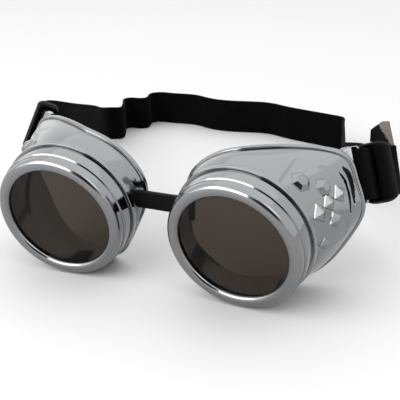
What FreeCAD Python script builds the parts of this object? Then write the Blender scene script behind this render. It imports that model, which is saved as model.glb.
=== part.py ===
import FreeCAD, Part
import math
import os
from FreeCAD import Placement, Rotation, Vector

os.makedirs("parts", exist_ok=True)

# Lens disc and the washer behind it, in mm; the lens sets the radii of the ring and the cup.
lens_r = 25.6
lens_thickness = 2.0
lens_edge = 0.25
lens_play = 0.1
gasket_thickness = 1.0
gasket_inset = 0.2

# Lens ring, turned about the lens axis; depths run back from the front of the ring.
lens_clearance = 0.4
ring_wall = 1.0
ring_step = 0.6
ring_step_depth = 5.0
ring_depth = 11.0
ring_round = 1.9
ring_bevel = 1.3
ring_hem = 0.5
lip_width = 4.0
lip_thickness = 1.8

# Eye cup: threaded barrel, flange, wall and rolled rim.
thread_clearance = 0.3
barrel_wall = 2.5
flange_overhang = 0.9
flange_gap = 0.4
flange_thickness = 2.3
flange_round = 0.5
wall_inset = 1.6
wall_lap = 1.0
wall_thickness = 2.0
wall_bulge = 0.8
bead_height = 0.9
bead_width = 2.8

# Edge of the cup against the face: degrees round the lens axis from the temple towards
# the brow, flare beyond the front of the wall, and depth behind the flange.
rim = [
    (0, 9.5, 29.8),
    (15, 7.5, 32.3),
    (30, 6.9, 34.3),
    (46, 3.3, 31.0),
    (66, 0.7, 24.1),
    (84, 0.0, 18.7),
    (100, 0.7, 14.3),
    (120, 1.3, 12.8),
    (146, 2.5, 11.8),
    (168, 2.7, 11.5),
    (184, 1.9, 9.3),
    (198, 0.9, 4.9),
    (210, 0.7, 3.9),
    (222, 1.3, 4.7),
    (236, 3.1, 6.7),
    (253, 4.2, 8.7),
    (270, 3.3, 10.7),
    (288, 4.5, 14.3),
    (305, 6.3, 18.9),
    (322, 6.7, 23.5),
    (340, 7.5, 27.3),
]

# Strap ear behind the temple wall: the ends of its bar and the place on the wall that it
# carries on from, in the same terms as the rim.
ear_foot = (2.0, 8.8, 32.6)
ear_head = (26.7, 6.9, 40.4)
ear_root = (14, 6.1, 24.3)
ear_frame = 1.9
ear_thickness = 2.4
ear_bar = 3.0
ear_slot = 3.6
ear_slot_play = 1.0
ear_reach = 6.0
ear_corner = 2.2

# Raised studs on the temple wall: degrees, part of the way from flange to rim,
# radius across the base, number of sides.
studs = [
    (45, 0.30, 3.7, 6),
    (30, 0.45, 2.8, 6),
    (18, 0.64, 2.5, 4),
    (20, 0.42, 2.3, 4),
    (20, 0.23, 2.3, 4),
    (6, 0.44, 2.5, 4),
    (353, 0.22, 2.5, 4),
]
stud_height = 1.1
stud_sink = 0.9

# Stance: the goggles stand on the two lens rings and the two cheek rims.
nose_gap = 17.4
toe_in = 3.1
pitch = 12.3

# Nose bridge: a rubber strip with a wider head inside each cup.
bridge_height = 7.0
bridge_thickness = 2.4
bridge_head_height = 11.0
bridge_head_length = 2.6
bridge_proud = 3.3
bridge_out = 1.4
bridge_back = 3.5
bridge_rise = 3.6
bridge_round = 0.4
bridge_clearance = 0.35

# Elastic webbing, doubled round each ear bar, and the slider on each doubled end.
strap_width = 20.0
strap_thickness = 1.5
wrap_play = 0.35
tail_length = 22.0
left_run = 25.0
right_run = 25.5
slider_place = 12.0
left_slider_place = 13.0
left_swing = -20.0
slider_length = 12.0
slider_wall = 1.4
slider_round = 0.9
slider_bar = 3.0
slider_bar_thickness = 1.0
slider_clearance = 0.35

# Lie of the strap behind the goggles, from the left ear to the middle of the back and on to
# the right ear: out from that ear's bar, part of the reach behind it, height of the lower
# edge above the table.
strap_reach = 176.4
left_lie = [
    (19.6, 0.244, 27.2),
    (25.9, 0.395, 18.6),
    (34.0, 0.562, 9.2),
    (40.8, 0.687, 2.0),
    (40.0, 0.730, 0.4),
    (36.6, 0.751, 0.0),
    (38.0, 0.792, 0.0),
    (41.8, 0.835, 0.0),
    (43.4, 0.868, 0.0),
    (40.4, 0.884, 0.0),
    (36.2, 0.886, 0.0),
    (32.8, 0.897, 0.0),
    (33.0, 0.931, 0.0),
    (34.3, 0.963, 0.0),
    (31.4, 0.986, 0.0),
    (21.9, 0.994, 0.0),
    (5.4, 1.000, 0.0),
    (-5.6, 0.977, 0.0),
    (-22.1, 0.971, 0.0),
    (-37.1, 0.989, 0.0),
    (-46.1, 0.990, 0.0),
]
right_lie = [
    (-89.6, 0.971, 0.0),
    (-74.6, 0.946, 0.0),
    (-63.6, 0.931, 0.0),
    (-55.1, 0.919, 0.0),
    (-49.6, 0.905, 0.0),
    (-48.0, 0.878, 0.0),
    (-45.7, 0.828, 0.6),
    (-41.4, 0.743, 2.0),
    (-37.0, 0.655, 3.6),
    (-31.8, 0.550, 6.4),
    (-28.0, 0.477, 9.6),
    (-21.1, 0.386, 14.8),
    (-10.1, 0.292, 20.6),
    (0.4, 0.202, 25.6),
]

# Radii that follow from the lens.
ring_bore_r = lens_r + lens_clearance
ring_front_r = ring_bore_r + ring_wall
ring_skirt_r = ring_front_r + ring_step
ring_aperture_r = ring_bore_r - lip_width
barrel_r = ring_bore_r - thread_clearance
barrel_bore_r = barrel_r - barrel_wall
flange_r = ring_skirt_r + flange_overhang
wall_front_r = flange_r - wall_inset

# Depths, one behind the other.
lens_front = lip_thickness + lens_play
lens_back = lens_front + lens_thickness
barrel_front = lens_back + gasket_thickness
flange_front = ring_depth + flange_gap
flange_back = flange_front + flange_thickness
wall_front = flange_back - wall_lap

# Clearances of the webbing.
wrap_r = ear_bar / 2 + strap_thickness / 2 + wrap_play
layer_offset = (strap_thickness + slider_bar_thickness) / 2 + slider_clearance


def at(degrees, radius, depth):
    a = math.radians(degrees)
    return Vector(radius * math.cos(a), depth, radius * math.sin(a))


def on_wall(degrees, flare, behind):
    return at(degrees, wall_front_r + flare, flange_back + behind)


def turned(profile):
    """Solid of revolution about the lens axis from (radius, depth, corner rounding) points."""
    spots = [Vector(r, d, 0) for r, d, rounding in profile]
    trail = []
    for i, (r, d, rounding) in enumerate(profile):
        here = spots[i]
        if rounding == 0:
            trail.append((here, None, here))
            continue
        to_last = (spots[i - 1] - here).normalize()
        to_next = (spots[(i + 1) % len(spots)] - here).normalize()
        half = to_last.getAngle(to_next) / 2
        run = rounding / math.tan(half)
        inward = (to_last + to_next).normalize()
        middle = here + inward * (rounding / math.sin(half) - rounding)
        trail.append((here + to_last * run, middle, here + to_next * run))
    edges = []
    for (start, middle, end), following in zip(trail, trail[1:] + trail[:1]):
        if middle is not None:
            edges.append(Part.Arc(start, middle, end).toShape())
        edges.append(Part.makeLine(end, following[0]))
    return Part.Face(Part.Wire(edges)).revolve(Vector(0, 0, 0), Vector(0, 1, 0), 360)


def loop_edge(points):
    curve = Part.BSplineCurve()
    curve.interpolate(Points=points, PeriodicFlag=True, Parameters=loop_steps)
    return curve.toShape()


def skin(edges):
    return Part.makeLoft([Part.Wire([e]) for e in edges], False, False)


def closed_solid(faces):
    solid = Part.makeSolid(Part.Shell([f for s in faces for f in s.Faces]))
    if solid.Volume < 0:
        solid.reverse()
    return solid


def block(centre, long_dir, tall_dir, length, height, thickness):
    """Box centred on a point, with its length and height along two given directions."""
    box = Part.makeBox(length, height, thickness, Vector(-length / 2, -height / 2, -thickness / 2))
    turn = Rotation(long_dir, tall_dir, long_dir.cross(tall_dir), "XYZ")
    box.Placement = Placement(centre, turn)
    return box


# Lens ring: bevelled mouth, rounded front edge, stepped skirt.
ring = turned([
    (ring_aperture_r, lip_thickness, 0),
    (ring_aperture_r, ring_bevel, 0),
    (ring_aperture_r + ring_bevel, 0, 0),
    (ring_front_r, 0, ring_round),
    (ring_front_r, ring_step_depth - ring_step / 2, 0),
    (ring_skirt_r, ring_step_depth + ring_step / 2, 0),
    (ring_skirt_r, ring_depth, ring_hem),
    (ring_bore_r, ring_depth, 0),
    (ring_bore_r, lip_thickness, 0),
])

# Smoked lens disc, with a washer between it and the barrel.
lens = turned([
    (0, lens_front, 0),
    (lens_r, lens_front, lens_edge),
    (lens_r, lens_back, lens_edge),
    (0, lens_back, 0),
])
gasket = turned([
    (barrel_bore_r, lens_back, 0),
    (lens_r - lens_edge - gasket_inset, lens_back, 0),
    (lens_r - lens_edge - gasket_inset, barrel_front, 0),
    (barrel_bore_r, barrel_front, 0),
])

# Barrel and flange of the eye cup.
barrel = turned([
    (barrel_bore_r, barrel_front, 0),
    (barrel_r, barrel_front, 0),
    (barrel_r, flange_front, 0),
    (flange_r, flange_front, flange_round),
    (flange_r, flange_back, flange_round),
    (barrel_bore_r, flange_back, 0),
])

# Cup wall: lofted from the round barrel to the face-shaped edge, with a rolled bead.
loop_steps = [a / 360.0 for a, flare, behind in rim] + [1.0]


def wall_edge(part, grow, shift=0.0):
    """Closed edge of the wall, part of the way from the flange to the bead."""
    points = []
    for a, flare, behind in rim:
        bulge = wall_bulge * 4 * part * (1 - part)
        depth = wall_front + part * (flange_back + behind - bead_width - wall_front) + shift
        points.append(at(a, wall_front_r + part * flare + bulge + grow, depth))
    return loop_edge(points)


outer_front = wall_edge(0, 0)
outer_back = wall_edge(1, 0)
bead_front = wall_edge(1, bead_height, bead_width * 0.1)
bead_back = wall_edge(1, bead_height, bead_width * 0.7)
rim_outer = wall_edge(1, 0, bead_width)
rim_inner = wall_edge(1, -wall_thickness, bead_width)
inner_front = wall_edge(0, -wall_thickness)
outer_skin = skin([outer_front, wall_edge(0.5, 0), outer_back])
wall = closed_solid([
    outer_skin,
    skin([outer_back, bead_front]),
    skin([bead_front, bead_back]),
    skin([bead_back, rim_outer]),
    skin([rim_outer, rim_inner]),
    skin([rim_inner, wall_edge(0.5, -wall_thickness), inner_front]),
    skin([inner_front, outer_front]),
])

# Strap ear: a plate that carries on from the temple wall, with a slot and a rear bar.
ear_low = on_wall(*ear_foot)
ear_high = on_wall(*ear_head)
ear_up = (ear_high - ear_low).normalize()
ear_mid = (ear_high + ear_low) * 0.5
ear_back = ear_mid - on_wall(*ear_root)
ear_back = (ear_back - ear_up * ear_back.dot(ear_up)).normalize()
ear_out = ear_back.cross(ear_up).normalize()
ear_hole = strap_width + ear_slot_play
ear_tall = ear_hole + 2 * ear_frame
ear_long = ear_bar + ear_slot + ear_reach
ear_plate_mid = ear_mid + ear_back * (ear_bar / 2 - ear_long / 2)
ear_plate = block(ear_plate_mid, ear_back, ear_up, ear_long, ear_tall, ear_thickness)
rear_edges = [
    e for e in ear_plate.Edges
    if abs((e.CenterOfMass - ear_mid).dot(ear_back) - ear_bar / 2) < 0.01
    and abs((e.CenterOfMass - ear_mid).dot(ear_up)) > ear_tall / 2 - 0.01
]
ear_plate = ear_plate.makeFillet(ear_corner, rear_edges)
slot_mid = ear_mid - ear_back * (ear_bar / 2 + ear_slot / 2)
ear_cut = block(slot_mid, ear_back, ear_up, ear_slot, ear_hole, 5 * ear_thickness)

# Studs stand on the outer skin of the temple wall.
skin_surface = outer_skin.Faces[0].Surface
u_low, u_high, v_low, v_high = skin_surface.bounds()


def stud(degrees, part, radius, sides):
    u = u_low + (u_high - u_low) * degrees / 360.0
    v = v_low + (v_high - v_low) * part
    foot = skin_surface.value(u, v)
    out = skin_surface.normal(u, v)
    if out.dot(Vector(foot.x, 0, foot.z)) < 0:
        out = out * -1
    base = foot - out * stud_sink
    corners = []
    for k in range(sides):
        a = 2 * math.pi * k / sides
        corners.append(Vector(radius * math.cos(a), radius * math.sin(a), 0))
    low = Part.makePolygon(corners + corners[:1])
    small = [Vector(c.x * 0.25, c.y * 0.25, stud_sink + stud_height) for c in corners]
    high = Part.makePolygon(small + small[:1])
    body = Part.makeLoft([low, high], True, True)
    body.Placement = Placement(base, Rotation(Vector(0, 0, 1), out))
    return body


cup = wall.fuse([barrel, ear_plate] + [stud(*s) for s in studs])
cup = cup.cut(ear_cut).removeSplitter()

# Right-hand pieces are set in the stance, left-hand ones mirrored from them.
stance = Rotation(Vector(0, 0, 1), -toe_in) * Rotation(Vector(1, 0, 0), pitch)
bridge_seat = Vector(-wall_front_r - bridge_out, flange_back + bridge_back, bridge_rise)
bridge_point = stance.multVec(bridge_seat)
lens_centre = Vector(flange_r + nose_gap / 2, -bridge_point.y, -bridge_point.z)


def place(point):
    return lens_centre + stance.multVec(point)


def right(shape):
    placed = shape.copy()
    placed.Placement = Placement(lens_centre, stance) * placed.Placement
    return placed


def left(shape):
    return right(shape).mirror(Vector(0, 0, 0), Vector(1, 0, 0))


def slab(width, height, thickness, x):
    return Part.makeBox(width, thickness, height, Vector(x, -thickness / 2, -height / 2))


# Nose bridge, with its slot through the nose side of each cup.
bridge_reach = nose_gap / 2 + wall_inset + wall_thickness + bridge_proud
neck = bridge_reach - bridge_head_length
band = slab(2 * bridge_reach, bridge_height, bridge_thickness, -bridge_reach)
band = band.fuse([
    slab(bridge_head_length, bridge_head_height, bridge_thickness, neck),
    slab(bridge_head_length, bridge_head_height, bridge_thickness, -bridge_reach),
]).removeSplitter()
head_edges = [e for e in band.Edges if abs(abs(e.CenterOfMass.x) - bridge_reach) < 0.01]
band = band.makeFillet(bridge_round, head_edges)
c = bridge_clearance
right_cup = right(cup).cut(slab(neck, bridge_height, bridge_thickness, 0))
left_cup = left(cup).cut(slab(neck, bridge_height + 2 * c, bridge_thickness + 2 * c, -neck))

# Strap: one flat ribbon, wound through each ear slot and round its bar.
bar_mid = place(ear_mid)
bar_up = stance.multVec(ear_up)
run_dir = stance.multVec(ear_back)
out_dir = stance.multVec(ear_out)
table = right(ring).optimalBoundingBox(True, False).ZMin


def swung(direction, degrees):
    """Direction turned inwards about the ear bar."""
    return Rotation(bar_up, degrees).multVec(direction)


def ear_wrap(run_end, swing):
    """Middle line of the webbing at the right ear, from its free end to the main run."""
    o = layer_offset
    half = [(run_end, o), (run_end * 0.88, o), (run_end * 0.7, o)]
    half += [(11.5, o), (8.5, o), (6.0, o + 0.1), (3.4, o + 0.5)]
    inner = [(b * tail_length / run_end if b > 12 else b, -n) for b, n in half]
    turns = [math.radians(a) for a in (270, 225, 180, 135, 90)]
    steps = [(-0.4 + wrap_r * math.cos(a), wrap_r * math.sin(a)) for a in turns]
    along = swung(run_dir, swing)
    aside = swung(out_dir, swing)
    return [(bar_mid + along * b + aside * n, bar_up) for b, n in inner + steps + half[::-1]]


def lying(out, part, height):
    """Strap station on the right-hand side; the webbing leans more the higher it hangs."""
    middle = Vector(bar_mid.x + out, bar_mid.y + part * strap_reach, table + height + strap_width / 2)
    return middle, Vector(min(1.0, height / 40.0) * bar_up.x, 0, 1).normalize()


def mirrored(v):
    return Vector(-v.x, v.y, v.z)


left_side = ear_wrap(left_run, left_swing) + [lying(*s) for s in left_lie]
right_side = [lying(*s) for s in right_lie] + ear_wrap(right_run, 0)[::-1]
path = [(mirrored(p), mirrored(w)) for p, w in left_side] + right_side


def ribbon(path, width, thickness):
    """Flat strip that follows (point, width direction) stations."""
    middles = [p for p, w in path]
    steps = [0.0]
    for p, q in zip(middles, middles[1:]):
        steps.append(steps[-1] + (q - p).Length)
    rows = [[], [], [], []]
    for i, (p, w) in enumerate(path):
        ahead = (middles[min(i + 1, len(path) - 1)] - middles[max(i - 1, 0)]).normalize()
        across = (w - ahead * w.dot(ahead)).normalize() * (width / 2)
        face = ahead.cross(across).normalize() * (thickness / 2)
        rows[0].append(p - across - face)
        rows[1].append(p + across - face)
        rows[2].append(p + across + face)
        rows[3].append(p - across + face)
    edges = []
    for row in rows:
        curve = Part.BSplineCurve()
        curve.interpolate(Points=row, Parameters=steps)
        edges.append(curve.toShape())
    faces = [Part.makeRuledSurface(edges[k], edges[(k + 1) % 4]) for k in range(4)]
    for end in (0, -1):
        corners = [row[end] for row in rows]
        faces.append(Part.Face(Part.makePolygon(corners + corners[:1])))
    return closed_solid(faces)


strap = ribbon(path, strap_width, strap_thickness)

# Sliders: a plastic frame round both layers behind each ear, with a bar between them.
open_height = strap_width + 2 * slider_clearance
open_thickness = 2 * layer_offset + strap_thickness + 2 * slider_clearance
slider_height = open_height + 2 * slider_wall
slider_depth = open_thickness + 2 * slider_wall


def slider_at(distance, swing):
    along = swung(run_dir, swing)
    middle = bar_mid + along * distance
    frame = block(middle, along, bar_up, slider_length, slider_height, slider_depth)
    frame = frame.makeFillet(slider_round, frame.Edges)
    frame = frame.cut(block(middle, along, bar_up, 2 * slider_length, open_height, open_thickness))
    bar_height = open_height + slider_wall
    return frame.fuse(block(middle, along, bar_up, slider_bar, bar_height, slider_bar_thickness))


slider = slider_at(slider_place, 0)
left_slider = slider_at(left_slider_place, left_swing).mirror(Vector(0, 0, 0), Vector(1, 0, 0))

pieces = {
    "right_cup": right_cup,
    "left_cup": left_cup,
    "right_ring": right(ring),
    "left_ring": left(ring),
    "right_lens": right(lens),
    "left_lens": left(lens),
    "right_gasket": right(gasket),
    "left_gasket": left(gasket),
    "nose_bridge": band,
    "strap": strap,
    "slider": slider,
    "left_slider": left_slider,
}
for name, shape in pieces.items():
    shape.Solids[0].exportStep("parts/" + name + ".step")
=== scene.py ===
import math

import bmesh
import bpy
import numpy as np
from mathutils import Matrix, Vector


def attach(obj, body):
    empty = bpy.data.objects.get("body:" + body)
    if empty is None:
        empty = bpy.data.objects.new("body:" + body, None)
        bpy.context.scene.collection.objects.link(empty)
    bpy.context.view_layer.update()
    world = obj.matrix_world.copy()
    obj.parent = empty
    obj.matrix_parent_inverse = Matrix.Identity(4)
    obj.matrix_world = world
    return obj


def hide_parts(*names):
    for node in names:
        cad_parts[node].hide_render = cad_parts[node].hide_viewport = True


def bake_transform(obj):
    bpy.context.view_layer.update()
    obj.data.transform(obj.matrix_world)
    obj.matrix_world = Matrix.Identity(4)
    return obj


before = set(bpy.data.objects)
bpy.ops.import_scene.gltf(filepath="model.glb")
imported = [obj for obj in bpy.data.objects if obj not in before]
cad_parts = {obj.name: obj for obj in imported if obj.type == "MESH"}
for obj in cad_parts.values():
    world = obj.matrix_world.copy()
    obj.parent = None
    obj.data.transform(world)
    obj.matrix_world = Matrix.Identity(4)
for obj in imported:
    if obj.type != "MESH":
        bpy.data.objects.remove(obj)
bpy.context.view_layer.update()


# Eye cups: two mirror-image plastic mouldings, plated bright all over. Each has a threaded barrel
# and flange in front, a wall that widens to the face with raised studs on the temple side, a
# rolled rim, and a flat slotted ear for the strap.
mm = 0.001
lens_spacing, toe_in, pitch = 74.4, 3.1, 12.3
lens_centre = Vector((lens_spacing / 2, -17.545, -7.181))
stance = Matrix.Rotation(math.radians(-toe_in), 3, "Z") @ Matrix.Rotation(math.radians(pitch), 3, "X")
# stations of the rolled rim: degrees round from the temple, radius, depth behind the ring's front
rim = np.array([
    (0, 36.4, 43.5), (15, 34.4, 46.0), (30, 33.8, 48.0), (46, 30.2, 44.7), (66, 27.6, 37.8),
    (84, 26.9, 32.4), (100, 27.6, 28.0), (120, 28.2, 26.5), (146, 29.4, 25.5), (168, 29.6, 25.2),
    (184, 28.8, 23.0), (198, 27.8, 18.6), (210, 27.6, 17.6), (222, 28.2, 18.4), (236, 30.0, 20.4),
    (253, 31.1, 22.4), (270, 30.2, 24.4), (288, 31.4, 28.0), (305, 33.2, 32.6), (322, 33.6, 37.2),
    (340, 34.4, 41.0),
])
wall_front_r, wall_front, wall_thickness, wall_bulge = 26.9, 12.7, 2.0, 0.8
bead_width = 2.8


def round_spline(knots, values, where):
    """Smooth closed curve through values at knots from 0 to 1, read at where."""
    n = len(knots)
    step = np.diff(np.append(knots, knots[0] + 1.0))
    system, pull = np.zeros((n, n)), np.zeros((n, values.shape[1]))
    for i in range(n):
        a, b = step[i - 1], step[i]
        system[i, i - 1] += a
        system[i, i] += 2 * (a + b)
        system[i, (i + 1) % n] += b
        pull[i] = 6 * ((values[(i + 1) % n] - values[i]) / b - (values[i] - values[i - 1]) / a)
    bend = np.linalg.solve(system, pull)
    where = np.mod(where, 1.0)
    i = np.searchsorted(knots, where, side="right") - 1
    j, h = (i + 1) % n, step[i][:, None]
    p = (where - knots[i])[:, None]
    q = h - p
    return (bend[i] * q**3 + bend[j] * p**3) / (6 * h) + (values[i] / h - bend[i] * h / 6) * q \
        + (values[j] / h - bend[j] * h / 6) * p


def seated(points, side):
    """Lens-axis millimetres to the goggles' own frame in metres; side -1 mirrors to the left cup."""
    out = (np.asarray(points) @ np.array(stance).T + np.array(lens_centre)) * mm
    out[:, 0] *= side
    return out


def piece(name, verts, faces, sharp=35.0):
    """New closed mesh, faces outward, shaded smooth; edges sharper than the angle stay crisp."""
    mesh = bpy.data.meshes.new(name)
    mesh.from_pydata([tuple(v) for v in verts], [], faces)
    shell = bmesh.new()
    shell.from_mesh(mesh)
    bmesh.ops.recalc_face_normals(shell, faces=shell.faces)
    shell.to_mesh(mesh)
    shell.free()
    mesh.polygons.foreach_set("use_smooth", [True] * len(mesh.polygons))
    mesh.set_sharp_from_angle(angle=math.radians(sharp))
    made = bpy.data.objects.new(name, mesh)
    bpy.context.scene.collection.objects.link(made)
    return made


def tube_faces(rows, columns, close_rows=False):
    """Quads over a grid of rows that each close on themselves."""
    faces = []
    for i in range(rows if close_rows else rows - 1):
        a, b = i * columns, ((i + 1) % rows) * columns
        faces += [(a + k, a + (k + 1) % columns, b + (k + 1) % columns, b + k) for k in range(columns)]
    return faces


fillet_points = 7


def rounded(profile):
    """(radius, depth, corner rounding) points with each corner replaced by a small arc."""
    line, n = [], len(profile)
    for i, (r, d, fillet) in enumerate(profile):
        here = np.array((r, d), float)
        if not fillet:
            line.append(here)
            continue
        before = np.array(profile[i - 1][:2], float)
        after = np.array(profile[(i + 1) % n][:2], float)
        u = (before - here) / np.linalg.norm(before - here)
        v = (after - here) / np.linalg.norm(after - here)
        half = 0.5 * math.acos(np.clip(u @ v, -1, 1))
        run = fillet / math.tan(half)
        middle = here + (u + v) / np.linalg.norm(u + v) * fillet / math.sin(half)
        first, last = here + u * run - middle, here + v * run - middle
        sweep = math.acos(np.clip(first @ last / fillet**2, -1, 1))
        for t in np.linspace(0, 1, fillet_points):
            arc = (math.sin((1 - t) * sweep) * first + math.sin(t * sweep) * last) / math.sin(sweep)
            line.append(middle + arc)
    return line


def cup_skin(columns, rows):
    """Outer skin of the wall at given turns (0 to 1 from the temple) and parts of the way back."""
    knots, turn = rim[:, 0] / 360, np.radians(rim[:, 0])
    spoke = np.stack([np.cos(turn), 0 * turn, np.sin(turn)], 1)
    back = rim[:, 1:2] * spoke
    back[:, 1] = rim[:, 2] - bead_width
    spokes = round_spline(knots, spoke, columns)
    ends = round_spline(knots, back, columns)
    fronts = wall_front_r * spokes + np.array((0, wall_front, 0))
    bulge = [wall_bulge * 4 * p * (1 - p) for p in rows]
    return np.array([fronts + p * (ends - fronts) + b * spokes for p, b in zip(rows, bulge)]), spokes


def outward(skin, spokes):
    """Unit normals of a skin grid, away from the lens axis."""
    along = np.gradient(skin, axis=0)
    round_way = np.roll(skin, -1, 1) - np.roll(skin, 1, 1)
    out = np.cross(round_way, along)
    out /= np.linalg.norm(out, axis=2)[:, :, None]
    return out * np.sign((out * spokes[None]).sum(2))[:, :, None]


# the rolled edge in section: out from the wall, and back
bead = [
    (0.12, 0.03), (0.5, 0.1), (0.78, 0.35), (0.9, 0.8), (0.93, 1.3), (0.84, 1.8), (0.6, 2.3),
    (0.2, 2.65), (-0.4, 2.8), (-1.0, 2.8), (-1.5, 2.62), (-1.85, 2.2), (-2.0, 1.6),
]
# the wall's columns lie closer together on the temple side, between these degrees
temple_from, temple_to, temple_columns, other_columns = -20, 66, 180, 150
wall_rows, lining_rows = 110, 24
# each groove's two ends, as degrees and part of the way back, and half its width; the grooves' dark comes
# from painted shade
grooves = [((27, 0.77), (4, 0.74), 0.016), ((28, 0.87), (7, 0.86), 0.034)]
# groove depth and bow, and the share of full depth past which a groove's faces get painted shade
groove_depth, groove_bow, groove_shade_from = 1.1, 0.05, 0.1
groove_reach, groove_taper, groove_tip = 1.6, 2.6, 0.4
# the sunk temple panel: its edges in degrees, how softly each one steps, and where it fades out
panel_low, panel_high, low_softness, high_softness = -12, 57.8, 1.5, 0.5
panel_front, panel_rear, panel_fade, panel_depth = 0.02, 0.72, 0.08, 0.4


def cup_wall(name, side):
    """Wall of one cup with its temple panel, grooves darkened with painted shade, rolled rim and inside."""
    temple = np.linspace(temple_from, temple_to, temple_columns, endpoint=False)
    others = np.linspace(temple_to, temple_from + 360, other_columns, endpoint=False)
    degrees = np.concatenate([temple, others])
    columns = degrees / 360
    parts = np.linspace(0, 1, wall_rows)
    skin, spokes = cup_skin(columns, parts)
    cut = np.zeros(skin.shape[:2])
    for (a0, p0), (a1, p1), half_width in grooves:
        t = np.clip((degrees - a0) / (a1 - a0), 0, 1)
        middle = p0 + (p1 - p0) * t + groove_bow * np.sin(math.pi * t)
        off_centre = np.abs(degrees - (a0 + a1) / 2) / abs(a1 - a0)
        ends = np.clip(groove_reach - groove_taper * off_centre, 0, 1)
        width = half_width * (groove_tip + (1 - groove_tip) * ends)
        aside = (parts[:, None] - middle[None]) / width[None]
        cut += ends[None] * np.exp(-aside**4)
    below = 1 / (1 + np.exp((degrees - panel_high) / high_softness))
    above = 1 / (1 + np.exp((panel_low - degrees) / low_softness))
    fade = np.clip((parts - panel_front) / panel_fade, 0, 1)
    fade *= np.clip((panel_rear - parts) / panel_fade, 0, 1)
    rise = -groove_depth * cut - panel_depth * (below * above)[None] * fade[:, None]
    rows = list(skin + rise[:, :, None] * outward(skin, spokes))
    rows += [skin[-1] + g * spokes + np.array((0, d, 0)) for g, d in bead]
    rows += list(cup_skin(columns, np.linspace(1, 0, lining_rows))[0] - wall_thickness * spokes)
    verts = seated(np.array(rows).reshape(-1, 3), side)
    wall = piece(name, verts, tube_faces(len(rows), len(columns), True), sharp=50)
    # faces deep in a groove take the second slot: painted shade standing in for the dark inside the groove
    for i, k in zip(*np.nonzero(cut[:-1] > groove_shade_from)):
        wall.data.polygons[int(i) * len(columns) + int(k)].material_index = 1
    return wall


# degrees, part of the way back, radius, sides, the flat top's share of the radius, height
studs = [
    (45, 0.30, 3.9, 6, 0.60, 1.0), (30, 0.45, 3.3, 6, 0.52, 1.2), (18, 0.64, 3.5, 4, 0.08, 1.4),
    (19, 0.42, 3.3, 4, 0.08, 1.4), (18, 0.23, 3.6, 4, 0.08, 1.4), (6, 0.44, 3.1, 4, 0.08, 1.4),
    (353, 0.22, 2.5, 4, 0.08, 1.2),
]
stud_sink, stud_flare, stud_dome = 0.6, 1.12, 0.12


def cup_studs(name, side):
    """Faceted studs, each with a flat foot sunk in the wall."""
    verts, faces = [], []
    for degrees, part, radius, sides, flat, height in studs:
        columns = np.array((degrees - 0.5, degrees, degrees + 0.5)) / 360
        skin, spokes = cup_skin(columns, [part - 0.01, part, part + 0.01])
        foot = skin[1, 1]
        up = np.cross(skin[1, 2] - skin[1, 0], skin[2, 1] - skin[0, 1])
        up *= np.sign(up @ spokes[1]) / np.linalg.norm(up)
        east = np.cross((0, 1, 0), up)
        east /= np.linalg.norm(east)
        north, first = np.cross(up, east), len(verts)
        for scale, lift in ((stud_flare, -stud_sink), (1.0, -0.05), (flat, height)):
            for a in 2 * math.pi * np.arange(sides) / sides:
                arm = math.cos(a) * east + math.sin(a) * north
                verts.append(foot + scale * radius * arm + lift * up)
        faces += [tuple(first + k for k in quad) for quad in tube_faces(3, sides)]
        faces.append(tuple(first + k for k in range(sides)))
        tip = len(verts)
        verts.append(foot + (height + stud_dome * flat) * up)
        faces += [(tip - sides + k, tip - sides + (k + 1) % sides, tip) for k in range(sides)]
    return piece(name, seated(verts, side), faces, sharp=8)


bore_r, barrel_front, barrel_rim_r = 23.2, 4.9, 25.3
thread_r, thread_root_r, thread_depth, thread_lead, thread_runout = 25.68, 25.1, 0.55, 3.0, 0.8
thread_front, thread_row = 5.0, 0.1
flange_r, flange_front, flange_back = 28.5, 11.2, 13.7


def cup_barrel(name, side):
    """Bore, threaded outside and flange, as one turned skin with a helical thread."""
    columns = 192
    turn = np.linspace(0, 1, columns, endpoint=False)
    rows = []
    for d in np.arange(thread_front + 0.15, flange_front - 0.1, thread_row):
        wave = np.abs(np.mod((d - thread_front) / thread_lead + turn, 1.0) - 0.5) * 2
        ease = min(1.0, (d - thread_front) / thread_runout, (flange_front - d) / thread_runout)
        rows.append((thread_r - thread_depth * ease * np.clip(1.6 * wave - 0.3, 0, 1), d))
    shoulder = rounded([
        (thread_root_r, flange_front, 0), (flange_r, flange_front, 0.25), (flange_r, flange_back, 0.55),
        (24.9, flange_back, 0), (bore_r, flange_back, 0.5), (bore_r, barrel_front, 0.3),
        (barrel_rim_r, barrel_front, 0.3), (thread_root_r, 5.3, 0),
    ])
    rows += [(np.full(columns, r), d) for r, d in shoulder[:-1]]
    verts = [(r * math.cos(2 * math.pi * t), d, r * math.sin(2 * math.pi * t))
             for radii, d in rows for r, t in zip(radii, turn)]
    return piece(name, seated(verts, side), tube_faces(len(rows), columns, True), sharp=40)


def on_wall(degrees, flare, behind):
    """Point by its degrees round, how far outside the wall's front, and depth behind the flange."""
    a, r = math.radians(degrees), wall_front_r + flare
    return Vector((r * math.cos(a), flange_back + behind, r * math.sin(a)))


ear_low, ear_high = on_wall(2.0, 8.8, 32.6), on_wall(26.7, 6.9, 40.4)
ear_up = (ear_high - ear_low).normalized()
ear_mid = (ear_high + ear_low) / 2
ear_back = ear_mid - on_wall(14, 6.1, 24.3)
ear_back = (ear_back - ear_up * ear_back.dot(ear_up)).normalized()
ear_out = ear_back.cross(ear_up).normalized()
# the plate and its slot, from the strap bar: front and rear edge, height, corner rounding
ear_front, ear_rear, ear_tall, ear_corner = -8.6, 1.5, 22.4, 2.2
slot_front, slot_rear, slot_tall, slot_corner = -5.1, -1.5, 21.0, 0.8
ear_half, ear_edge, ear_bend, ear_slope = 1.2, 0.35, -5.4, 0.7


def rounded_section(width, thickness, corner, steps=5):
    """Closed round-cornered rectangle as (across, through) pairs."""
    line = []
    for x, y, start in ((1, 1, 0), (-1, 1, 90), (-1, -1, 180), (1, -1, 270)):
        for a in np.radians(np.linspace(start, start + 90, steps)):
            line.append((x * (width / 2 - corner) + corner * math.cos(a),
                         y * (thickness / 2 - corner) + corner * math.sin(a)))
    return line


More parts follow.
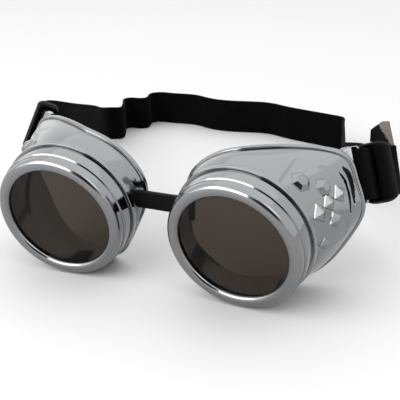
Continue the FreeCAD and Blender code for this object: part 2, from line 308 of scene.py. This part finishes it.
def plate_with_slot(name, side):
    """Ear plate: round-cornered outline and slot joined by a band of faces on both sides."""
    outer = np.array(rounded_section(ear_rear - ear_front, ear_tall, ear_corner, steps=8))
    outer[:, 0] += (ear_rear + ear_front) / 2
    hole = np.array(rounded_section(slot_rear - slot_front, slot_tall, slot_corner, steps=8))
    hole[:, 0] += (slot_rear + slot_front) / 2
    inside = ear_half - ear_edge
    verts = []
    for line, lift, shrink in (
            (hole, ear_half, -ear_edge), (outer, ear_half, ear_edge), (outer, inside, 0.0),
            (outer, -inside, 0.0), (outer, -ear_half, ear_edge), (hole, -ear_half, -ear_edge),
            (hole, -inside, 0.0), (hole, inside, 0.0)):
        for b, h in line - shrink * np.sign(line - line.mean(axis=0)):
            sink = ear_slope * max(0.0, ear_bend - b)
            verts.append(ear_mid + ear_back * b + ear_up * h + ear_out * (lift - sink))
    return piece(name, seated(verts, side), tube_faces(8, len(outer), True), sharp=30)


def plating_flaws():
    """Node group: faint ripple, wipe marks and dust on bright plating."""
    group = bpy.data.node_groups.new("plating flaws", "ShaderNodeTree")
    face = group.interface
    face.new_socket("Ripple size", in_out="INPUT", socket_type="NodeSocketFloat").default_value = 90.0
    face.new_socket("Base roughness", in_out="INPUT", socket_type="NodeSocketFloat").default_value = 0.06
    face.new_socket("Height", in_out="OUTPUT", socket_type="NodeSocketFloat")
    face.new_socket("Roughness", in_out="OUTPUT", socket_type="NodeSocketFloat")
    n, link = group.nodes, group.links.new
    given, result = n.new("NodeGroupInput"), n.new("NodeGroupOutput")
    place = n.new("ShaderNodeTexCoord")
    ripple = n.new("ShaderNodeTexNoise")
    ripple.inputs["Detail"].default_value = 1.0
    link(place.outputs["Object"], ripple.inputs["Vector"])
    link(given.outputs["Ripple size"], ripple.inputs["Scale"])
    link(ripple.outputs["Fac"], result.inputs["Height"])
    smear = n.new("ShaderNodeTexNoise")
    smear.inputs["Scale"].default_value = 240.0
    smear.inputs["Detail"].default_value = 6.0
    smear.inputs["Roughness"].default_value = 0.65
    link(place.outputs["Object"], smear.inputs["Vector"])
    spread = n.new("ShaderNodeMapRange")
    spread.inputs["From Min"].default_value, spread.inputs["From Max"].default_value = 0.45, 0.8
    spread.inputs["To Min"].default_value, spread.inputs["To Max"].default_value = 0.0, 0.09
    link(smear.outputs["Fac"], spread.inputs["Value"])
    total = n.new("ShaderNodeMath")
    link(spread.outputs["Result"], total.inputs[0])
    link(given.outputs["Base roughness"], total.inputs[1])
    link(total.outputs["Value"], result.inputs["Roughness"])
    return group


flaws = plating_flaws()


def bright_plating(name, colour, ripple_size, roughness, ripple_depth):
    """Material: bright plating over moulded plastic, which shows through as a faint ripple."""
    finish = bpy.data.materials.new(name)
    finish.use_nodes = True
    n, link = finish.node_tree.nodes, finish.node_tree.links.new
    shader = n["Principled BSDF"]
    shader.inputs["Base Color"].default_value = (*colour, 1)
    shader.inputs["Metallic"].default_value = 1.0
    marks = n.new("ShaderNodeGroup")
    marks.node_tree = flaws
    marks.inputs["Ripple size"].default_value = ripple_size
    marks.inputs["Base roughness"].default_value = roughness
    bump = n.new("ShaderNodeBump")
    bump.inputs["Strength"].default_value = 1.0
    bump.inputs["Distance"].default_value = ripple_depth
    link(marks.outputs["Height"], bump.inputs["Height"])
    link(marks.outputs["Roughness"], shader.inputs["Roughness"])
    link(bump.outputs["Normal"], shader.inputs["Normal"])
    return finish


plating_grey = (0.222, 0.225, 0.23)
cup_plating = bright_plating("cup plating", plating_grey, 70.0, 0.11, 0.00012)
# painted shade: a near-black rough finish for the deep faces of the grooves, standing in for the shade
# inside them
groove_painted_shade = bpy.data.materials.new("groove painted shade")
groove_painted_shade.use_nodes = True
n, link = groove_painted_shade.node_tree.nodes, groove_painted_shade.node_tree.links.new
n["Principled BSDF"].inputs["Specular IOR Level"].default_value = 0.1
grit = n.new("ShaderNodeTexNoise")
grit.inputs["Scale"].default_value = 900.0
tone = n.new("ShaderNodeValToRGB")
tone.color_ramp.elements[0].color = (0.001, 0.001, 0.001, 1)
tone.color_ramp.elements[1].color = (0.006, 0.006, 0.006, 1)
link(grit.outputs["Fac"], tone.inputs["Fac"])
link(tone.outputs["Color"], n["Principled BSDF"].inputs["Base Color"])
for label, side, body in (("right", 1, "right_half"), ("left", -1, "left_half")):
    wall = cup_wall(label + "_cup_wall", side)
    barrel = cup_barrel(label + "_cup_barrel", side)
    ear = plate_with_slot(label + "_cup_ear", side)
    for part in (wall, barrel, ear, cup_studs(label + "_cup_studs", side)):
        part.data.materials.append(cup_plating)
        # the wall's second slot carries the grooves' painted shade
        if part is wall:
            part.data.materials.append(groove_painted_shade)
        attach(part, body)
        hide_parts(label + "_cup")


# Lens washers: thin flat rings cut from black sheet rubber, lying on the front of each barrel
# so that the lens is clamped without rattling.
washer_r, washer_front, washer_round = 25.4, 3.9, 0.2
washer_profile = [
    (bore_r, washer_front, washer_round), (washer_r, washer_front, washer_round),
    (washer_r, barrel_front, washer_round), (bore_r, barrel_front, washer_round),
]


def turned(name, profile, side, segments=192, sharp=35.0):
    """Ring of revolution about the lens axis from a closed profile."""
    line = rounded(profile)
    angle = np.linspace(0, 2 * math.pi, segments, endpoint=False)
    verts = [(r * math.cos(a), d, r * math.sin(a)) for r, d in line for a in angle]
    return piece(name, seated(verts, side), tube_faces(len(line), segments, True), sharp)


washer_rubber = bpy.data.materials.new("washer rubber")
washer_rubber.use_nodes = True
n, link = washer_rubber.node_tree.nodes, washer_rubber.node_tree.links.new
n["Principled BSDF"].inputs["Base Color"].default_value = (0.012, 0.012, 0.012, 1)
grit = n.new("ShaderNodeTexNoise")
grit.inputs["Scale"].default_value = 1800.0
span = n.new("ShaderNodeMapRange")
span.inputs["To Min"].default_value, span.inputs["To Max"].default_value = 0.55, 0.8
link(grit.outputs["Fac"], span.inputs["Value"])
link(span.outputs["Result"], n["Principled BSDF"].inputs["Roughness"])
for label, side, body in (("right", 1, "right_half"), ("left", -1, "left_half")):
    washer = turned(label + "_lens_washer", washer_profile, side)
    washer.data.materials.append(washer_rubber)
    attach(washer, body)
    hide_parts(label + "_gasket")


# Lenses: flat discs cut from smoked acrylic sheet, with a ground edge. Each is dropped into its lens
# ring from behind and clamped against the washer.
lens_r, lens_front, lens_round, lens_columns = 25.6, 1.9, 0.25, 160


def end_caps(rows, columns):
    """The two faces that close a tube's first and last row."""
    last = (rows - 1) * columns
    return [tuple(range(columns - 1, -1, -1)), tuple(last + k for k in range(columns))]


smoked = bpy.data.materials.new("smoked acrylic")
smoked.use_nodes = True
n, link = smoked.node_tree.nodes, smoked.node_tree.links.new
shader = n["Principled BSDF"]
shader.inputs["Base Color"].default_value = (0.068, 0.054, 0.042, 1)
shader.inputs["Transmission Weight"].default_value = 1.0
shader.inputs["IOR"].default_value = 1.2
film = n.new("ShaderNodeTexNoise")
film.inputs["Scale"].default_value = 60.0
film.inputs["Detail"].default_value = 5.0
haze = n.new("ShaderNodeMapRange")
haze.inputs["From Min"].default_value, haze.inputs["From Max"].default_value = 0.4, 0.8
haze.inputs["To Min"].default_value, haze.inputs["To Max"].default_value = 0.01, 0.03
link(film.outputs["Fac"], haze.inputs["Value"])
link(haze.outputs["Result"], shader.inputs["Roughness"])
for label, side, body in (("right", 1, "right_lens_disc"), ("left", -1, "left_lens_disc")):
    edge = rounded([(lens_r, lens_front, lens_round), (lens_r, washer_front, lens_round),
                    (0.0, washer_front, 0), (0.0, lens_front, 0)])[:2 * fillet_points]
    angle = np.linspace(0, 2 * math.pi, lens_columns, endpoint=False)
    verts = [(r * math.cos(a), d, r * math.sin(a)) for r, d in edge for a in angle]
    faces = tube_faces(len(edge), lens_columns) + end_caps(len(edge), lens_columns)
    lens = piece(label + "_smoked_lens", seated(verts, side), faces)
    lens.data.materials.append(smoked)
    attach(lens, body)
    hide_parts(label + "_lens")


# Lens rings: screw-on bezels, moulded and plated like the cups. The rounded mouth holds the lens in,
# the front edge is full, and a fine step runs round the skirt.
mouth_r, crest_r, lip_r, lens_seat, lip_depth = 22.0, 24.3, 27.0, 1.8, 2.6
skirt_r, skirt_back, ring_bore_r, step_front, step_back = 27.6, 11.0, 26.0, 4.75, 5.2
ring_plating = bright_plating("ring plating", plating_grey, 45.0, 0.08, 0.00006)
quarter = np.radians(np.linspace(0, 90, 13))
ring_profile = [(crest_r - (crest_r - mouth_r) * math.cos(a), lens_seat * (1 - math.sin(a)), 0)
                for a in quarter]
ring_profile += [(crest_r + (lip_r - crest_r) * math.sin(a), lip_depth * (1 - math.cos(a)), 0)
                 for a in quarter[1:]]
ring_profile += [
    (lip_r, step_front, 0.15), (skirt_r, step_back, 0.25), (skirt_r, skirt_back, 0.2),
    (ring_bore_r, skirt_back, 0.2), (ring_bore_r, lens_seat, 0),
]
for label, side, body in (("right", 1, "right_lens_ring"), ("left", -1, "left_lens_ring")):
    ring = turned(label + "_lens_bezel", ring_profile, side, segments=224, sharp=30)
    ring.data.materials.append(ring_plating)
    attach(ring, body)
    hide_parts(label + "_ring")


# Nose bridge: a strip of black moulded rubber through a slot in the nose side of each cup, kept there by a
# wider head on each end.
strip_end, strip_tall, strip_thickness, strip_corner = 12.7, 7.0, 2.4, 0.5
head_at, head_tall = np.array((12.85, 13.1, 15.3, 15.6)), 11.0
tip_lower, tip_thinner = 0.6, 0.8
rows = []
for x in np.concatenate([-head_at[::-1], np.linspace(-strip_end, strip_end, 60), head_at]):
    tall, thinner = strip_tall, 1.0
    if abs(x) > strip_end:
        tall = head_tall
    if abs(x) == head_at[-1]:
        tall, thinner = head_tall - tip_lower, tip_thinner
    rows.append([(x, t * thinner, h) for h, t in rounded_section(tall, strip_thickness, strip_corner)])
columns = len(rows[0])
verts = np.array([v for row in rows for v in row]) * mm
faces = tube_faces(len(rows), columns) + end_caps(len(rows), columns)
bridge = piece("bridge_strip", verts, faces, sharp=40)
bridge_rubber = bpy.data.materials.new("bridge rubber")
bridge_rubber.use_nodes = True
n, link = bridge_rubber.node_tree.nodes, bridge_rubber.node_tree.links.new
shader = n["Principled BSDF"]
shader.inputs["Specular IOR Level"].default_value = 0.08
bloom = n.new("ShaderNodeTexNoise")
bloom.inputs["Scale"].default_value = 400.0
bloom.inputs["Detail"].default_value = 5.0
tone = n.new("ShaderNodeValToRGB")
tone.color_ramp.elements[0].color = (0.0015, 0.0015, 0.0016, 1)
tone.color_ramp.elements[1].color = (0.003, 0.003, 0.0032, 1)
link(bloom.outputs["Fac"], tone.inputs["Fac"])
link(tone.outputs["Color"], shader.inputs["Base Color"])
span = n.new("ShaderNodeMapRange")
span.inputs["To Min"].default_value, span.inputs["To Max"].default_value = 0.45, 0.7
link(bloom.outputs["Fac"], span.inputs["Value"])
link(span.outputs["Result"], shader.inputs["Roughness"])
bridge.data.materials.append(bridge_rubber)
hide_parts("nose_bridge")
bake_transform(bridge)


# Head strap: one length of black elastic webbing, doubled round the bar of each ear and standing
# on its edge behind the goggles. It is woven in fine ribs, with firmer cords along both edges.
strap_width, strap_thickness, weave_half = 20.0, 1.5, 0.66
wrap_r, wrap_shift, layer = 2.6, -0.4, 1.6
left_run, right_run, end_run, left_swing, right_swing = 25.0, 25.5, 22.0, -20.0, 0.0
table, strap_reach, lean_height = -33.2006, 176.4, 40.0
# how the webbing lies behind each ear: out from the ear bar, part of the reach back, height
left_lie = [
    (19.6, 0.244, 27.2), (25.9, 0.395, 18.6), (34.0, 0.562, 9.2), (40.8, 0.687, 2.0), (40.0, 0.730, 0.4),
    (36.6, 0.751, 0.0), (38.0, 0.792, 0.0), (41.8, 0.835, 0.0), (43.4, 0.868, 0.0), (40.4, 0.884, 0.0),
    (36.2, 0.886, 0.0), (32.8, 0.897, 0.0), (33.0, 0.931, 0.0), (34.3, 0.963, 0.0), (31.4, 0.986, 0.0),
    (21.9, 0.994, 0.0), (5.4, 1.000, 0.0), (-5.6, 0.977, 0.0), (-22.1, 0.971, 0.0), (-37.1, 0.989, 0.0),
    (-46.1, 0.990, 0.0),
]
right_lie = [
    (-89.6, 0.971, 0.0), (-74.6, 0.946, 0.0), (-63.6, 0.931, 0.0), (-55.1, 0.919, 0.0), (-49.6, 0.905, 0.0),
    (-48.0, 0.878, 0.0), (-45.7, 0.828, 0.6), (-41.4, 0.743, 2.0), (-37.0, 0.655, 3.6), (-31.8, 0.550, 6.4),
    (-28.0, 0.477, 9.6), (-21.1, 0.386, 14.8), (-10.1, 0.292, 20.6), (0.4, 0.202, 25.6),
]
bar_mid = lens_centre + stance @ ear_mid
bar_up, run_dir, out_dir = stance @ ear_up, stance @ ear_back, stance @ ear_out


def swung(direction, degrees):
    """Direction turned inwards about the ear bar."""
    return Matrix.Rotation(math.radians(degrees), 3, bar_up) @ direction


def ear_wrap(run, swing):
    """Strap stations from its end, in under the ear bar, round it and out along the doubled run."""
    outer = [(run, layer), (run * 0.88, layer), (run * 0.7, layer)]
    outer += [(11.5, layer), (8.5, layer), (6.0, layer + 0.1), (3.4, layer + 0.5)]
    inner = [(b * end_run / run if b > 12 else b, -k) for b, k in outer]
    bends = np.radians((270, 225, 180, 135, 90))
    round_bar = [(wrap_shift + wrap_r * math.cos(a), wrap_r * math.sin(a)) for a in bends]
    along, aside = swung(run_dir, swing), swung(out_dir, swing)
    return [(bar_mid + along * b + aside * k, bar_up) for b, k in inner + round_bar + outer[::-1]]


def flip(v):
    """Mirror from the right-hand side to the left."""
    return Vector((-v.x, v.y, v.z))


def lying(out, part, height):
    """Strap station on the right-hand side; the webbing leans more the higher it hangs."""
    middle = Vector((bar_mid.x + out, bar_mid.y + part * strap_reach, table + height + strap_width / 2))
    return middle, Vector((min(1.0, height / lean_height) * bar_up.x, 0, 1)).normalized()


left_route = ear_wrap(left_run, left_swing) + [lying(*at) for at in left_lie]
route = [(flip(p), flip(w)) for p, w in left_route]
route += [lying(*at) for at in right_lie] + ear_wrap(right_run, right_swing)[::-1]


def open_spline(knots, values, where):
    """Smooth open curve through values at rising knots, read at where."""
    n, step = len(knots), np.diff(knots)
    system, pull = np.eye(n), np.zeros((n, values.shape[1]))
    for i in range(1, n - 1):
        a, b = step[i - 1], step[i]
        system[i, i - 1:i + 2] = a, 2 * (a + b), b
        pull[i] = 6 * ((values[i + 1] - values[i]) / b - (values[i] - values[i - 1]) / a)
    bend = np.linalg.solve(system, pull)
    i = np.clip(np.searchsorted(knots, where, side="right") - 1, 0, n - 2)
    h = step[i][:, None]
    p = (where - knots[i])[:, None]
    q = h - p
    return (bend[i] * q**3 + bend[i + 1] * p**3) / (6 * h) + (values[i] / h - bend[i] * h / 6) * q \
        + (values[i + 1] / h - bend[i + 1] * h / 6) * p


middles = np.array([p for p, w in route])
knots = np.concatenate([[0], np.cumsum(np.linalg.norm(np.diff(middles, axis=0), axis=1))])
across, facing = [], []
for i, (p, w) in enumerate(route):
    ahead = middles[min(i + 1, len(route) - 1)] - middles[max(i - 1, 0)]
    ahead /= np.linalg.norm(ahead)
    w = np.array(w) - ahead * np.dot(np.array(w), ahead)
    across.append(w / np.linalg.norm(w))
    facing.append(np.cross(ahead, across[-1]))
frames = np.hstack([middles, np.array(across), np.array(facing)])
strap_length = float(knots[-1])
left_fine, right_fine = 60, strap_length - 70
stations = np.unique(np.concatenate([
    np.linspace(0, left_fine, 120), np.linspace(left_fine, right_fine, 420),
    np.linspace(right_fine, strap_length, 140),
]))
line = open_spline(knots, frames, stations)
half_width, cord_from, round_from, round_over = strap_width / 2, 8.9, 9.3, 0.72
heights = np.concatenate([
    np.linspace(-half_width, -9.2, 4), np.linspace(-8.6, 8.6, 24), np.linspace(9.2, half_width, 4),
])
section = []
for h in heights:
    swell = strap_thickness / 2 if abs(h) > cord_from else weave_half
    bulge = max(0.0, (abs(h) - round_from) / round_over)
    section.append((h, swell * math.sqrt(max(0.0, 1 - bulge**2))))
section += [(h, -t) for h, t in section[::-1]]
columns = len(section)
verts, coords = [], []
for s, row in zip(stations, line):
    for h, t in section:
        verts.append((row[:3] + row[3:6] * h + row[6:9] * t) * mm)
        coords.append((s * mm, h * mm))
faces = tube_faces(len(stations), columns) + end_caps(len(stations), columns)
strap = piece("head_strap", verts, faces, sharp=50)
layout = strap.data.uv_layers.new(name="webbing")
for loop in strap.data.loops:
    layout.data[loop.index].uv = coords[loop.vertex_index]

webbing = bpy.data.materials.new("elastic webbing")
webbing.use_nodes = True
n, link = webbing.node_tree.nodes, webbing.node_tree.links.new
shader = n["Principled BSDF"]
shader.inputs["Specular IOR Level"].default_value = 0.03
shader.inputs["Sheen Weight"].default_value = 0.01
shader.inputs["Sheen Roughness"].default_value = 0.4
shader.inputs["Roughness"].default_value = 0.8
place = n.new("ShaderNodeUVMap")
place.uv_map = "webbing"
ribs = n.new("ShaderNodeTexWave")
ribs.bands_direction = "Y"
ribs.inputs["Scale"].default_value = 300.0
ribs.inputs["Distortion"].default_value = 0.3
picks = n.new("ShaderNodeTexWave")
picks.bands_direction = "X"
picks.inputs["Scale"].default_value = 420.0
picks.inputs["Distortion"].default_value = 0.5
weave = n.new("ShaderNodeMath")
weave.operation = "MULTIPLY"
for node in (ribs, picks):
    link(place.outputs["UV"], node.inputs["Vector"])
link(ribs.outputs["Fac"], weave.inputs[0])
link(picks.outputs["Fac"], weave.inputs[1])
bump = n.new("ShaderNodeBump")
bump.inputs["Strength"].default_value = 0.7
bump.inputs["Distance"].default_value = 0.0002
link(weave.outputs["Value"], bump.inputs["Height"])
link(bump.outputs["Normal"], shader.inputs["Normal"])
fuzz = n.new("ShaderNodeTexNoise")
fuzz.inputs["Scale"].default_value = 90.0
fuzz.inputs["Detail"].default_value = 8.0
link(place.outputs["UV"], fuzz.inputs["Vector"])
shade = n.new("ShaderNodeMath")
link(weave.outputs["Value"], shade.inputs[0])
link(fuzz.outputs["Fac"], shade.inputs[1])
tone = n.new("ShaderNodeValToRGB")
tone.color_ramp.elements[0].position, tone.color_ramp.elements[1].position = 0.3, 0.8667
tone.color_ramp.elements[0].color = (0.0002, 0.0002, 0.0002, 1)
tone.color_ramp.elements[1].color = (0.0020, 0.0020, 0.0022, 1)
link(shade.outputs["Value"], tone.inputs["Fac"])
link(tone.outputs["Color"], shader.inputs["Base Color"])
strap.data.materials.append(webbing)
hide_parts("strap")
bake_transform(strap)

# the strap's frayed end stands up above the right slider: along from the ear bar, and height
tail_outline = [
    (20.8, 3), (23.5, 8.5), (23.5, 12.9), (15.3, 12.9), (18.5, 17.7), (28.9, 20.8), (33.9, 20.8),
    (32.4, 10.5), (26.5, 7), (25, 3),
]
curl_from, curl_slope = 10.0, 0.1
tail_rows = ((-0.65, 0.4), (-0.65, 0.96), (-0.4, 1.0), (0.4, 1.0), (0.65, 0.96), (0.65, 0.4))
edge = []
for (b0, h0), (b1, h1) in zip(tail_outline, tail_outline[1:] + tail_outline[:1]):
    edge += [(b0 + (b1 - b0) * t, h0 + (h1 - h0) * t) for t in np.linspace(0, 1, 9)[:-1]]
middle = np.mean(edge, axis=0)
verts = []
for through, scale in tail_rows:
    for b, h in middle + (np.array(edge) - middle) * scale:
        curl = -layer - curl_slope * max(0.0, h - curl_from) + through
        verts.append((bar_mid + run_dir * b + bar_up * h + out_dir * curl) * mm)
faces = tube_faces(len(tail_rows), len(edge)) + end_caps(len(tail_rows), len(edge))
tail = piece("strap_tail", verts, faces, sharp=40)
layout = tail.data.uv_layers.new(name="webbing")
for loop in tail.data.loops:
    away = tail.data.vertices[loop.vertex_index].co - bar_mid * mm
    layout.data[loop.index].uv = (away @ run_dir, away @ bar_up)
frayed = webbing.copy()
frayed.name = "frayed webbing"
n, link = frayed.node_tree.nodes, frayed.node_tree.links.new
shader = n["Principled BSDF"]
dyed = shader.inputs["Base Color"].links[0].from_socket
spread = n.new("ShaderNodeSeparateXYZ")
link(n["UV Map"].outputs["UV"], spread.inputs["Vector"])
ragged = n.new("ShaderNodeTexNoise")
ragged.inputs["Scale"].default_value = 700.0
link(n["UV Map"].outputs["UV"], ragged.inputs["Vector"])
worn = n.new("ShaderNodeMath")
worn.operation = "MULTIPLY_ADD"
worn.inputs[1].default_value = 0.004
link(ragged.outputs["Fac"], worn.inputs[0])
slant = n.new("ShaderNodeMath")
slant.operation = "MULTIPLY_ADD"
slant.inputs[1].default_value = 0.56
link(spread.outputs["Y"], slant.inputs[0])
link(spread.outputs["X"], slant.inputs[2])
link(slant.outputs["Value"], worn.inputs[2])
where = n.new("ShaderNodeMapRange")
where.inputs["From Min"].default_value, where.inputs["From Max"].default_value = 0.0364, 0.0376
link(worn.outputs["Value"], where.inputs["Value"])
threads = n.new("ShaderNodeMix")
threads.data_type = "RGBA"
threads.inputs["B"].default_value = (0.15, 0.13, 0.115, 1)
link(where.outputs["Result"], threads.inputs["Factor"])
link(dyed, threads.inputs["A"])
link(threads.outputs["Result"], shader.inputs["Base Color"])
tail.data.materials.append(frayed)
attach(tail, "right_half")


# Sliders: black moulded frames with a bar between the two layers of webbing, holding the doubled
# end of the strap behind each ear.
slider_length, slider_wall, slider_slack, slider_crown = 12.0, 1.4, 0.7, 2.0
end_crown, end_drop, slot_round, round_growth = 0.9, 0.5, 0.35, 1.4
slider_bar, bar_thickness, bar_corner, bar_bury = 3.0, 1.0, 0.4, 0.6
open_height, open_depth = strap_width + slider_slack, 2 * layer + strap_thickness + slider_slack
slider_half = slider_length / 2
# the frame's hoops from one mouth to the other: place along the strap, growth outside the opening
slider_lip = [
    (-slider_half + 0.5, 0.0), (-slider_half + 0.12, 0.25), (-slider_half, 0.6), (-slider_half, 1.0),
    (-slider_half + 0.35, slider_wall),
]
slider_hoops = slider_lip + [(slider_half * part, slider_wall) for part in np.linspace(-0.8, 0.8, 9)]
slider_hoops += [(-b, grow) for b, grow in slider_lip[::-1]]


def slider_frame(name, distance, swing, side):
    """Frame with a crowned outer face and rounded ends, and the bar across its opening."""
    along, aside = swung(run_dir, swing), swung(out_dir, swing)
    middle = bar_mid + along * distance
    verts = []
    for b, grow in slider_hoops:
        swell, inset = grow / slider_wall, (b / slider_half) ** 2
        crown = slider_crown * swell * (1 - inset / 2)
        taller = 1 + swell * (end_crown * (1 - inset) - end_drop) / (open_height / 2)
        corner = slot_round + round_growth * grow
        for h, t in rounded_section(open_height + 2 * grow, open_depth + 2 * grow, corner, steps=6):
            out = t + crown * max(0.0, t / open_depth)
            verts.append(middle + along * b + bar_up * h * taller + aside * out)
    first = len(verts)
    faces = tube_faces(len(slider_hoops), first // len(slider_hoops), True)
    bar = rounded_section(slider_bar, bar_thickness, bar_corner, steps=6)
    bar_end = open_height / 2 + bar_bury
    for h in (-bar_end, bar_end):
        verts += [middle + along * b + bar_up * h + aside * t for b, t in bar]
    bar_faces = tube_faces(2, len(bar)) + end_caps(2, len(bar))
    faces += [tuple(first + k for k in face) for face in bar_faces]
    return piece(name, [(v if side > 0 else flip(v)) * mm for v in verts], faces, sharp=40)


slider_plastic = bpy.data.materials.new("slider plastic")
slider_plastic.use_nodes = True
n, link = slider_plastic.node_tree.nodes, slider_plastic.node_tree.links.new
shader = n["Principled BSDF"]
shader.inputs["Base Color"].default_value = (0.001, 0.001, 0.0011, 1)
shader.inputs["Specular IOR Level"].default_value = 0.012
grain = n.new("ShaderNodeTexNoise")
grain.inputs["Scale"].default_value = 2600.0
grain.inputs["Detail"].default_value = 3.0
bump = n.new("ShaderNodeBump")
bump.inputs["Strength"].default_value = 0.5
bump.inputs["Distance"].default_value = 0.00004
link(grain.outputs["Fac"], bump.inputs["Height"])
link(bump.outputs["Normal"], shader.inputs["Normal"])
span = n.new("ShaderNodeMapRange")
span.inputs["To Min"].default_value, span.inputs["To Max"].default_value = 0.32, 0.5
link(grain.outputs["Fac"], span.inputs["Value"])
link(span.outputs["Result"], shader.inputs["Roughness"])
for name, distance, swing, side, body, node in (
        ("right_strap_slider", 12.0, right_swing, 1, "strap_slider", "slider"),
        ("left_strap_slider", 13.0, left_swing, -1, "left_strap_slider", "left_slider")):
    slider = slider_frame(name, distance, swing, side)
    slider.data.materials.append(slider_plastic)
    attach(slider, body)
    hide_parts(node)


# Stage: a pale seamless table in an even white tent, with wide soft lights and a camera at the
# photograph's angle. The tent's one dim opening shows as a dark streak in the plating.
floor_half, floor_gap = 4.0, 0.0002
floor_z = table * mm - floor_gap
corners = [(x * floor_half, y * floor_half, floor_z) for x, y in ((-1, -1), (1, -1), (1, 1), (-1, 1))]
floor_mesh = bpy.data.meshes.new("table")
floor_mesh.from_pydata(corners, [], [(0, 1, 2, 3)])
floor = bpy.data.objects.new("table", floor_mesh)
bpy.context.scene.collection.objects.link(floor)
table_white = bpy.data.materials.new("table white")
table_white.use_nodes = True
table_white.node_tree.nodes["Principled BSDF"].inputs["Base Color"].default_value = (0.5, 0.5, 0.5, 1)
table_white.node_tree.nodes["Principled BSDF"].inputs["Roughness"].default_value = 0.7
floor_mesh.materials.append(table_white)

door_direction = (0.388, -0.846, 0.366)
world = bpy.data.worlds.new("studio")
world.use_nodes = True
bpy.context.scene.world = world
n, link = world.node_tree.nodes, world.node_tree.links.new
sky = n.new("ShaderNodeTexCoord")
height = n.new("ShaderNodeSeparateXYZ")
link(sky.outputs["Generated"], height.inputs["Vector"])
walls = n.new("ShaderNodeValToRGB")
walls.color_ramp.elements[0].position, walls.color_ramp.elements[1].position = 0.0, 0.75
walls.color_ramp.elements[0].color = (1.4, 1.4, 1.4, 1)
walls.color_ramp.elements[1].color = (1.6, 1.6, 1.6, 1)
link(height.outputs["Z"], walls.inputs["Fac"])
facing_door = n.new("ShaderNodeVectorMath")
facing_door.operation = "DOT_PRODUCT"
facing_door.inputs[1].default_value = door_direction
link(sky.outputs["Generated"], facing_door.inputs[0])
door = n.new("ShaderNodeMapRange")
door.inputs["From Min"].default_value, door.inputs["From Max"].default_value = 0.87, 0.96
door.inputs["To Min"].default_value, door.inputs["To Max"].default_value = 1.0, 0.05
link(facing_door.outputs["Value"], door.inputs["Value"])
tent = n.new("ShaderNodeVectorMath")
tent.operation = "SCALE"
link(walls.outputs["Color"], tent.inputs[0])
link(door.outputs["Result"], tent.inputs["Scale"])
link(tent.outputs["Vector"], n["Background"].inputs["Color"])
n["Background"].inputs["Strength"].default_value = 1.0


def soft_light(name, place, aim, size, watts):
    """Rectangular area lamp at a place, turned towards its aim."""
    lamp = bpy.data.lights.new(name, "AREA")
    lamp.shape, lamp.size, lamp.size_y, lamp.energy = "RECTANGLE", size[0], size[1], watts
    holder = bpy.data.objects.new(name, lamp)
    holder.location = place
    holder.rotation_euler = (Vector(aim) - Vector(place)).to_track_quat("-Z", "Y").to_euler()
    bpy.context.scene.collection.objects.link(holder)


soft_light("top bank", (0.0, 0.15, 0.9), (0, 0.05, 0), (1.4, 1.4), 2.0)
soft_light("left bank", (-0.9, -0.5, 0.5), (0, 0, 0), (0.5, 0.8), 1.6)
soft_light("right bank", (0.75, -0.44, 0.66), (0, 0, 0), (0.5, 0.5), 1.1)
soft_light("front bank", (-0.35, -0.70, 0.50), (0, -0.05, -0.03), (0.9, 0.6), 7.0)

focal_pixels, frame_pixels, sensor_width = 846.7, 400, 36.0
camera_azimuth, camera_elevation, camera_roll = 24.67, 21.48, -1.0
camera_spot = Vector((0.143886, -0.275278, 0.12241))
lens_data = bpy.data.cameras.new("camera")
lens_data.sensor_fit, lens_data.sensor_width = "HORIZONTAL", sensor_width
lens_data.lens = focal_pixels / frame_pixels * sensor_width
lens_data.clip_start = 0.01
camera = bpy.data.objects.new("camera", lens_data)
azimuth, elevation = math.radians(camera_azimuth), math.radians(camera_elevation)
roll = math.radians(camera_roll)
level = Vector((math.sin(azimuth), -math.cos(azimuth), 0))
back = level * math.cos(elevation) + Vector((0, 0, math.sin(elevation)))
flat_right = Vector((math.cos(azimuth), math.sin(azimuth), 0))
flat_up = back.cross(flat_right)
right = flat_right * math.cos(roll) + flat_up * math.sin(roll)
up = flat_up * math.cos(roll) - flat_right * math.sin(roll)
camera.matrix_world = Matrix.Translation(camera_spot) @ Matrix((right, up, back)).transposed().to_4x4()
bpy.context.scene.collection.objects.link(camera)
bpy.context.scene.camera = camera
bpy.context.scene.view_settings.view_transform = "Standard"
